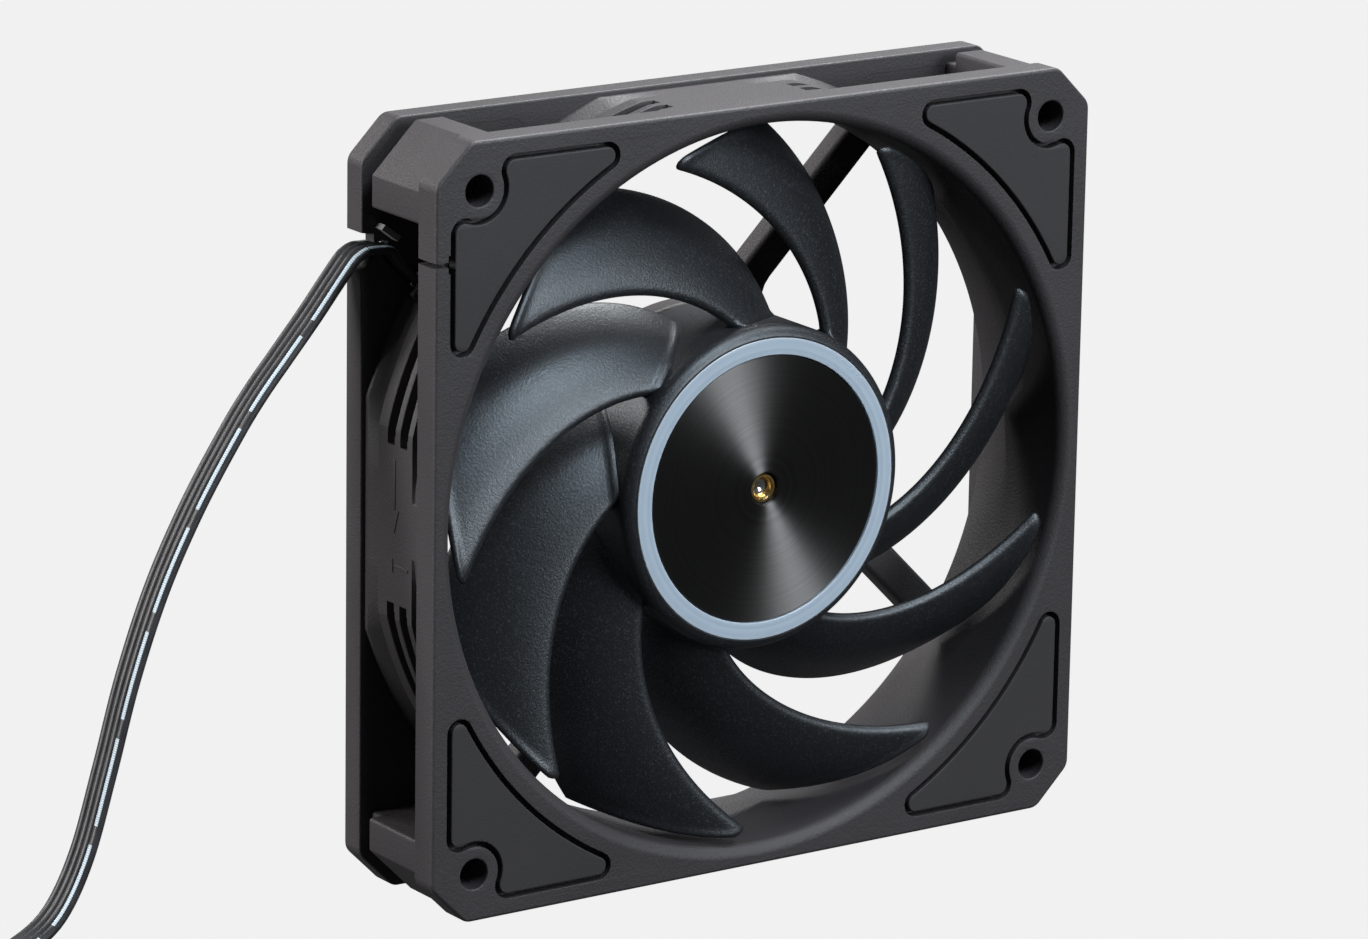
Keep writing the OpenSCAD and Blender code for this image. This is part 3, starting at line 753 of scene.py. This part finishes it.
def cut_flat(r, degrees, end):
    """A radius of the duct's outside where its four sides are cut flat and a groove may stop."""
    a = math.radians(degrees)
    flat = FLAT_AT / max(abs(math.cos(a)), abs(math.sin(a)))
    from_side = abs((degrees + 45) % 90 - 45)
    return min(flat, RIB_R if from_side < end else r)


def duct():
    """The duct wall: ribs and grooves round it, with its four sides cut flat."""
    creases = [math.degrees(math.acos(FLAT_AT / r)) for r in (RIB_R, FLARE_R, NECK_R)]
    creases += [end + d for end in (*GROOVE_END, 4.2, 5) for d in (-0.06, 0.06)]
    angles = sorted({round(a + 90 * k, 4) for k in range(4) for a in
                     [1.25 * i for i in range(72)] + creases + [90 - c for c in creases]})
    rings = [[(DUCT_R, a, h) for a in angles] for h in (REAR_FRONT - 0.02, 0, FRONT_BACK + 0.1)]
    rings += [[(cut_flat(r, a, end), a, h) for a in angles] for r, h, end in duct_outside()]
    bm = bmesh.new()
    made = [[bm.verts.new((r * math.cos(math.radians(a)), r * math.sin(math.radians(a)), h))
             for r, a, h in ring] for ring in rings]
    for a, b in zip(made, made[1:] + made[:1]):
        for i in range(len(angles)):
            n = (i + 1) % len(angles)
            bm.faces.new((a[i], a[n], b[n], b[i]))
    even_normals(finished("duct", bm, "housing", HOUSING, 30))
    bm = bmesh.new()
    arrows(bm)
    finished("side_arrows", bm, "housing", HOUSING)


def arrows(bm):
    """Plain raised arrows on the left side: which way it turns, and which way the air goes."""
    out = -FLAT_AT

    def strip(v0, v1, h0, h1):
        block(bm, (out - 0.12, v0, h0), (out + 0.2, v1, h1), 0.05)

    def head(tip, back, across):
        """A flat triangle from its tip (v, h) back along v or h."""
        (tv, th), (bv, bh) = tip, back
        dv, dh = across
        low = [(tv, th), (bv + dv, bh + dh), (bv - dv, bh - dh)]
        a = [bm.verts.new((out - 0.12, v, h)) for v, h in low]
        b = [bm.verts.new((out + 0.2, v, h)) for v, h in low]
        bm.faces.new(a)
        bm.faces.new(b[::-1])
        for i in range(3):
            bm.faces.new((a[i], b[i], b[(i + 1) % 3], a[(i + 1) % 3]))

    strip(2.2, 10.0, 0.0, 0.5)
    head((-1.3, 0.25), (2.3, 0.25), (0, 1.2))
    strip(-6.6, -6.1, 0.1, 4.1)
    head((-6.35, -3.1), (-6.35, -0.1), (1.1, 0))


def column_outline(d):
    """A corner column drawn in by d outside; its slant lies deeper than the flanges' chamfers."""
    out, inner = HALF - 0.15 - d, HOLE_AT - 5.2
    slant = 2 * HALF - CHAMFER - (1.2 + d) * math.sqrt(2) - out
    return rounded([(inner, inner), (out, inner), (out, slant), (slant, out), (inner, out)], 0.6)


def columns():
    """The corner columns between the flanges, each with its bolt hole and a web to the duct."""
    low, step, high = REAR_FRONT - 0.1, REAR_FRONT + 2.6, FRONT_BACK + 0.1
    bm = bmesh.new()
    for sx, sv in CORNERS.values():
        hole = circle(sx * HOLE_AT, sv * HOLE_AT, HOLE_R, 40)[::-1]
        for d, bottom, top in ((2, low, step + 0.1), (0, step, high)):
            outline = in_corner(column_outline(d), sx, sv, True)
            plate(bm, [(outline, edge_profile(bottom, top, 0.2, 0)), (hole, [(0, bottom), (0, top)])])
    for k in range(4):
        diagonal = Matrix.Rotation(math.radians(45 + 90 * k), 4, "Z")
        block(bm, (RIB_R - 1, -1.5, low), (69, 1.5, high), 0.2, diagonal)
    finished("corner_columns", bm, "housing", HOUSING)


def spider():
    """The motor base and its four struts, with rounded roots."""
    fillet, end, outline = 5.0, OUTLET_R + 0.4, []
    near, far = STRUT_OFFSET - STRUT_W / 2, STRUT_OFFSET + STRUT_W / 2
    lv, uv = near - fillet, far + fillet
    lx, ux = math.sqrt((BASE_R + fillet) ** 2 - lv ** 2), math.sqrt((BASE_R + fillet) ** 2 - uv ** 2)
    la, ua = math.degrees(math.atan2(lv, lx)), math.degrees(math.atan2(uv, ux))
    for k in range(4):
        part = arc(lx, lv, fillet, la + 180, 90, 6)
        part += [(end, near), (end, far)]
        part += arc(ux, uv, fillet, 270, 180 + ua, 6)
        part += arc(0, 0, BASE_R, ua, la + 90, 14)[1:-1]
        outline += turned(part, 45 + 90 * k)
    bm = bmesh.new()
    plate(bm, [(outline, edge_profile(REAR, REAR + STRUT_D, 0.4, 0.9, 5))])
    side = STRUT_W / 2
    block(bm, (HUB_R + 1.2, -side, REAR + 0.3), (end, side, REAR + CHANNEL_D + 0.9), 0.6, STRUT_FRAME)
    piece = finished("motor_base", bm, "housing", HOUSING)
    hollow = bmesh.new()
    cable_channel(hollow)
    cut(piece, hollow)
    recess = bmesh.new()
    lathe(recess, [(0, REAR - 1), (16.1, REAR - 1), (16.1, REAR + 0.9), (0, REAR + 0.9)], 96, closed=False)
    cut(piece, recess)
    even_normals(piece)


def pads():
    for name, (sx, sv) in CORNERS.items():
        for side, low, high in (("front", FRONT - PAD_THICK, FRONT), ("rear", REAR, REAR + PAD_THICK)):
            from_duct = FRONT_PAD_FROM_DUCT if side == "front" else REAR_PAD_FROM_DUCT
            outline = in_corner(pad_outline(PAD_GAP / 2, from_duct), sx, sv, True)
            bm = bmesh.new()
            plate(bm, [(outline, edge_profile(low, high, 0.22, 0.22, 3))])
            node = f"{side}_pad_{name}"
            piece = finished(f"pad_{side}_{name}", bm, "housing", PAD)
            if node == "rear_pad_top_left":
                gap = bmesh.new()
                block(gap, (0, -CHANNEL_W, REAR - 1), (2 * HALF, HALF, REAR + CHANNEL_D), 0, STRUT_FRAME)
                block(gap, (-HALF, 0, REAR - 1), (TURN_X + 2, 42.5, REAR + CHANNEL_D), 0)
                cut(piece, gap)
            even_normals(piece)
            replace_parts(piece, node)


def base_cover():
    bm = bmesh.new()
    lathe(bm, [(0, REAR + 0.8), (16, REAR + 0.8), (16, REAR + 0.25), (15.75, REAR), (6, REAR),
               (5.8, REAR + 0.15), (0, REAR + 0.15)], 96, closed=False)
    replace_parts(finished("motor_cover", bm, "housing", COVER), "base_cover")


def cable_lead():
    """The wires from the motor base along their strut to the notch."""
    def at(x, h, turn):
        p = STRUT_FRAME @ Vector((x, 0, 0))
        return (p.x, -h, HALF + p.y, turn)
    flat_h, edge_h = REAR + 0.2 + WIRE_R, REAR + 0.2 + RIBBON_W / 2
    rows = [at(15.4, flat_h, 90), at(20, flat_h, 90), at(24, flat_h + 0.2, 78), at(28, edge_h - 1.0, 45),
            at(32, edge_h, 10), at(36, edge_h, 0), at(48, edge_h, 0), at(TURN_AT - 4, edge_h, 0)]
    level = HALF + EXIT_V
    rows += [(TURN_X + 0.9, RIBBON_Y, level - 0.35, 0), (TURN_X - 2, RIBBON_Y, level, 0),
             (EXIT[0], RIBBON_Y, level, 0)]
    piece, _, _ = ribbon("cable_lead_wires", through(rows, 1.2))
    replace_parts(piece, "cable_lead")


intake_flange()
outlet_flange()
duct()
columns()
spider()
pads()
base_cover()
cable_lead()


# ---------- rotor ----------

def blade_edges(u):
    """Leading and trailing edge of a blade at share u of its span: angles and heights."""
    lead = 139 + 51 * u + 7 * u * (1 - u) - 4 * max(0, (u - 0.94) / 0.06) ** 2
    trail = 107.3 + 55 * u
    return lead, trail, 8.6 - 1.2 * u + 3.9 * u * u, -1.5 - 6.5 * u + 5 * u * u


def thickness(s):
    """Share of the full half thickness at share s of the chord."""
    nose = math.sqrt(max(0.0, 1 - (1 - min(s / 0.07, 1)) ** 2))
    tail = math.sqrt(max(0.0, 1 - (1 - min((1 - s) / 0.03, 1)) ** 2))
    return nose * tail * (1 - 0.55 * s ** 1.5)


def blade(bm):
    chordwise, across = 26, 44
    spread = [0.5 - 0.5 * math.cos(math.pi * i / chordwise) for i in range(chordwise + 1)]
    root = HUB_R - 0.4
    rings = []
    for j in range(across + 1):
        u = 1 - (1 - j / across) ** 1.25
        lead, trail, lh, th = blade_edges(u)
        r = root + (TIP_R - root) * u
        near = max(0.0, 1 - (r - HUB_R) / 0.9)
        full = (2.2 - 0.5 * u) / 2 + 0.55 * near ** 3
        full *= math.sqrt(max(0.02, 1 - (max(0.0, u - 0.975) / 0.025) ** 2))
        a, b = math.radians(lead - trail) * r, lh - th
        chord = math.hypot(a, b)

        def point(s, side):
            h = 4 * 0.09 * chord * s * (1 - s) + side * thickness(s) * full
            angle = math.radians(lead) + (-a * s - b * h / chord) / r
            return (r * math.cos(angle), r * math.sin(angle), lh - b * s + a * h / chord)

        ring = [point(s, 1) for s in spread] + [point(s, -1) for s in spread[-2:0:-1]]
        rings.append([bm.verts.new(p) for p in ring])
    n = len(rings[0])
    for low, high in zip(rings, rings[1:]):
        for i in range(n):
            bm.faces.new((low[i], low[(i + 1) % n], high[(i + 1) % n], high[i]))
    for ring in (rings[0], rings[-1]):
        for i in range(1, chordwise):
            quad = [ring[i - 1], ring[i], ring[n - i], ring[(n - i + 1) % n]]
            bm.faces.new([v for k, v in enumerate(quad) if v not in quad[:k]])
        bm.faces.new((ring[chordwise - 1], ring[chordwise], ring[chordwise + 1]))


def ring_of_copies(count, start):
    """A tree that sets copies of a blade round the fan's axis."""
    tree = bpy.data.node_groups.new("ring_of_blades", "GeometryNodeTree")
    for name, kind in (("Geometry", "NodeSocketGeometry"), ("Blades", "NodeSocketInt"),
                       ("First angle", "NodeSocketFloat"), ("Axis height", "NodeSocketFloat"),
                       ("Finish", "NodeSocketMaterial")):
        tree.interface.new_socket(name, in_out="INPUT", socket_type=kind)
    tree.interface.new_socket("Geometry", in_out="OUTPUT", socket_type="NodeSocketGeometry")
    new, link = tree.nodes.new, tree.links.new
    given, out = new("NodeGroupInput"), new("NodeGroupOutput")
    line = new("GeometryNodeMeshLine")
    line.inputs["Offset"].default_value = (0, 0, 0)
    link(given.outputs["Blades"], line.inputs["Count"])
    lift = new("ShaderNodeCombineXYZ")
    link(given.outputs["Axis height"], lift.inputs["Z"])
    link(lift.outputs[0], line.inputs["Start Location"])
    index, turn = new("GeometryNodeInputIndex"), new("ShaderNodeCombineXYZ")
    pitch, step, total = (new("ShaderNodeMath") for _ in range(3))
    pitch.operation, step.operation, total.operation = "DIVIDE", "MULTIPLY", "ADD"
    pitch.inputs[0].default_value = -2 * math.pi
    link(given.outputs["Blades"], pitch.inputs[1])
    link(index.outputs[0], step.inputs[0])
    link(pitch.outputs[0], step.inputs[1])
    link(step.outputs[0], total.inputs[0])
    link(given.outputs["First angle"], total.inputs[1])
    link(total.outputs[0], turn.inputs["Y"])
    copies = new("GeometryNodeInstanceOnPoints")
    link(line.outputs[0], copies.inputs["Points"])
    link(given.outputs["Geometry"], copies.inputs["Instance"])
    link(turn.outputs[0], copies.inputs["Rotation"])
    real, paint = new("GeometryNodeRealizeInstances"), new("GeometryNodeSetMaterial")
    link(copies.outputs[0], real.inputs[0])
    link(real.outputs[0], paint.inputs["Geometry"])
    link(given.outputs["Finish"], paint.inputs["Material"])
    link(paint.outputs[0], out.inputs[0])
    values = {"Blades": count, "First angle": start, "Axis height": HALF * MM, "Finish": IMPELLER}
    return tree, {s.identifier: values[s.name] for s in tree.interface.items_tree
                  if s.in_out == "INPUT" and s.name in values}


def impeller_blades():
    bm = bmesh.new()
    blade(bm)
    for v in bm.verts:
        v.co = Vector((v.co.x, -v.co.z, v.co.y)) * MM
    bmesh.ops.recalc_face_normals(bm, faces=bm.faces[:])
    mesh = bpy.data.meshes.new("blade")
    bm.to_mesh(mesh)
    bm.free()
    mesh.polygons.foreach_set("use_smooth", [True] * len(mesh.polygons))
    piece = bpy.data.objects.new("impeller_blades", mesh)
    bpy.context.scene.collection.objects.link(piece)
    tree, values = ring_of_copies(BLADES, 0.0)
    modifier = piece.modifiers.new("ring_of_blades", "NODES")
    modifier.node_group = tree
    for identifier, value in values.items():
        modifier[identifier] = value
    bpy.context.view_layer.update()
    baked(piece)
    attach(piece, "rotor")
    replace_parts(piece, "impeller")


def hub():
    fillet = arc(HUB_R - HUB_FILLET, HUB_TOP - HUB_FILLET, HUB_FILLET, 0, 90, 12)
    inner = HUB_R - HUB_WALL
    web = HUB_TOP - 3.3
    ring_floor, disc_floor = HUB_TOP - 1.6, HUB_TOP - 0.9
    profile = [(inner, HUB_BOTTOM + 0.2), (inner + 0.2, HUB_BOTTOM)]
    profile += [(HUB_R - 0.3, HUB_BOTTOM), (HUB_R, HUB_BOTTOM + 0.3)] + fillet[:-1]
    profile += [(RING_R + 0.22, HUB_TOP), (RING_R + 0.06, HUB_TOP - 0.16), (RING_R + 0.02, ring_floor)]
    profile += [(DISC_R + 0.1, ring_floor), (DISC_R + 0.1, disc_floor), (BUSH_R + 0.05, disc_floor)]
    profile += [(BUSH_R + 0.05, web - 4), (BUSH_R + 2.5, web - 4), (BUSH_R + 2.5, web), (inner, web)]
    bm = bmesh.new()
    lathe(bm, profile, 160)
    piece = finished("hub", bm, "rotor", IMPELLER)
    even_normals(piece)


def light_ring():
    top, low = FRONT - 0.1, HUB_TOP - 1.6
    inner = RING_R - RING_W
    bm = bmesh.new()
    lathe(bm, [(inner, low), (RING_R, low), (RING_R, top - 0.2), (RING_R - 0.05, top - 0.06),
               (RING_R - 0.2, top), (inner + 0.2, top), (inner + 0.05, top - 0.06), (inner, top - 0.2)], 160)
    piece = finished("ring_of_light", bm, "rotor", RING)
    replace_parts(even_normals(piece), "light_ring")


def hub_disc():
    top = HUB_TOP - 0.1
    bm = bmesh.new()
    bore = BUSH_R + 0.2
    lathe(bm, [(bore, top - 0.8), (DISC_R, top - 0.8), (DISC_R, top - 0.12), (DISC_R - 0.12, top),
               (bore + 0.25, top), (bore, top - 0.2)], 160)
    piece = finished("turned_disc", bm, "rotor", DISC)
    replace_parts(even_normals(piece), "hub_disc")


def bush_and_shaft():
    top = FRONT - 1.0
    bm = bmesh.new()
    lathe(bm, [(SHAFT_R, top - 6), (BUSH_R, top - 6), (BUSH_R, top - 0.25), (BUSH_R - 0.25, top),
               (SHAFT_R + 0.3, top), (SHAFT_R + 0.05, top - 0.25), (SHAFT_R, top - 0.4)], 64)
    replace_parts(finished("brass_bush", bm, "rotor", BRASS), "shaft_bush")
    end = FRONT - 2.1
    bm = bmesh.new()
    side = SHAFT_R - 0.01
    lathe(bm, [(0, end - 20), (side, end - 20), (side, end - 0.25), (1.2, end), (0.55, end),
               (0.3, end - 0.18), (0, end - 0.22)], 64, closed=False)
    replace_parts(finished("shaft_end", bm, "rotor", STEEL), "rotor_shaft")


impeller_blades()
hub()
light_ring()
hub_disc()
bush_and_shaft()


# ---------- finishes of the parts that keep their CAD shape ----------

CLIP = moulded("clip_plastic", (0.20, 0.20, 0.21), 0.45).material
NYLON = moulded("white_nylon", (0.78, 0.77, 0.72), 0.42, spread=0.05).material
COPPER = turned_metal("winding_copper", (0.72, 0.33, 0.15), 0.30, 0.0003)
BRONZE = turned_metal("bearing_bronze", (0.52, 0.31, 0.14), 0.42, 0.0003)
PLATED = turned_metal("plated_steel", (0.55, 0.56, 0.58), 0.32, 0.0004)
GOLD = turned_metal("contact_gold", (0.85, 0.62, 0.25), 0.25, 0.0004)
FERRITE = moulded("magnet_ferrite", (0.05, 0.045, 0.04), 0.6).material
BOARD = moulded("board_green", (0.02, 0.13, 0.06), 0.30, spread=0.1).material
TAN = moulded("board_parts_tan", (0.55, 0.45, 0.30), 0.40).material

FINISHES = {
    "cable_clip": CLIP, "cable_tie": PLUG, "plug_housing": PLUG, "plug_contacts": GOLD,
    "bearing_tube": BRASS, "thrust_pad": NYLON, "bearing_sleeve": BRONZE, "oil_seal": PAD,
    "stator_core": PLATED, "coil_former_front": NYLON, "coil_former_rear": NYLON, "windings": COPPER,
    "circuit_board": BOARD, "driver_chip": PLUG, "hall_sensor": PLUG, "board_parts": TAN,
    "retaining_clip": PLATED, "rotor_yoke": PLATED, "ring_magnet": FERRITE,
}
for node, material in FINISHES.items():
    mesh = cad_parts[node].data
    mesh.materials.clear()
    mesh.materials.append(material)


# ---------- stage and light ----------

def stage():
    f = Finish("paper", (0.93, 0.93, 0.93), 0.9)
    f.link(f.ramp(f.noise(3.0), [(0.3, (0.92, 0.92, 0.92)), (0.7, (0.94, 0.94, 0.94))]), "Base Color")
    f.set("Emission Color", (1, 1, 1, 1))
    f.set("Emission Strength", 0.88)
    wall, bend, around = 5.0, 0.8, 96
    rows = [(wall - bend, 0)]
    rows += [(wall - bend + bend * math.sin(a), bend - bend * math.cos(a)) for a in
             (math.pi / 2 * k / 12 for k in range(1, 13))]
    rows.append((wall, 3.5))
    bm = bmesh.new()
    rings = [[bm.verts.new((x, y, z)) for x, y in circle(0, 0, r, around)] for r, z in rows]
    bm.faces.new(rings[0])
    for low, high in zip(rings, rings[1:]):
        for i in range(around):
            n = (i + 1) % around
            bm.faces.new((low[i], low[n], high[n], high[i]))
    bmesh.ops.reverse_faces(bm, faces=[f for f in bm.faces if f.normal.z < -0.5])
    mesh = bpy.data.meshes.new("paper_floor")
    bm.to_mesh(mesh)
    bm.free()
    mesh.polygons.foreach_set("use_smooth", [True] * len(mesh.polygons))
    mesh.materials.append(f.material)
    floor = bpy.data.objects.new("paper_floor", mesh)
    bpy.context.scene.collection.objects.link(floor)
    # the paper is white to look at and throws no light on the fan
    floor.visible_diffuse = False
    floor.visible_glossy = False


def softbox(name, place, size, power, color=(1, 1, 1)):
    data = bpy.data.lights.new(name, "AREA")
    data.shape = "RECTANGLE"
    data.size, data.size_y = size
    data.energy = power
    data.color = color
    light = bpy.data.objects.new(name, data)
    light.location = place
    light.rotation_euler = (Vector(place) - Vector((0, 0, 0.06))).to_track_quat("Z", "Y").to_euler()
    bpy.context.scene.collection.objects.link(light)


def lights():
    softbox("key", (0.42, -1.05, 0.46), (0.40, 0.50), 9.0, (0.93, 0.97, 1.0))
    softbox("sheen", (0.10, -0.62, 0.92), (0.45, 0.35), 7.0, (0.84, 0.93, 1.0))
    softbox("left", (-1.2, 0.28, 0.45), (0.5, 0.8), 18.0, (1.0, 0.99, 0.98))
    softbox("top", (0.65, 0.25, 1.1), (0.9, 0.7), 30.0)
    softbox("behind", (-0.7, 1.1, 0.8), (0.6, 0.6), 8.0, (1.0, 0.98, 0.96))
    world = bpy.data.worlds.new("studio")
    world.use_nodes = True
    world.node_tree.nodes["Background"].inputs["Color"].default_value = (0.95, 0.97, 1.0, 1)
    world.node_tree.nodes["Background"].inputs["Strength"].default_value = 0.05
    bpy.context.scene.world = world
    bpy.context.scene.view_settings.view_transform = "Standard"


stage()
lights()
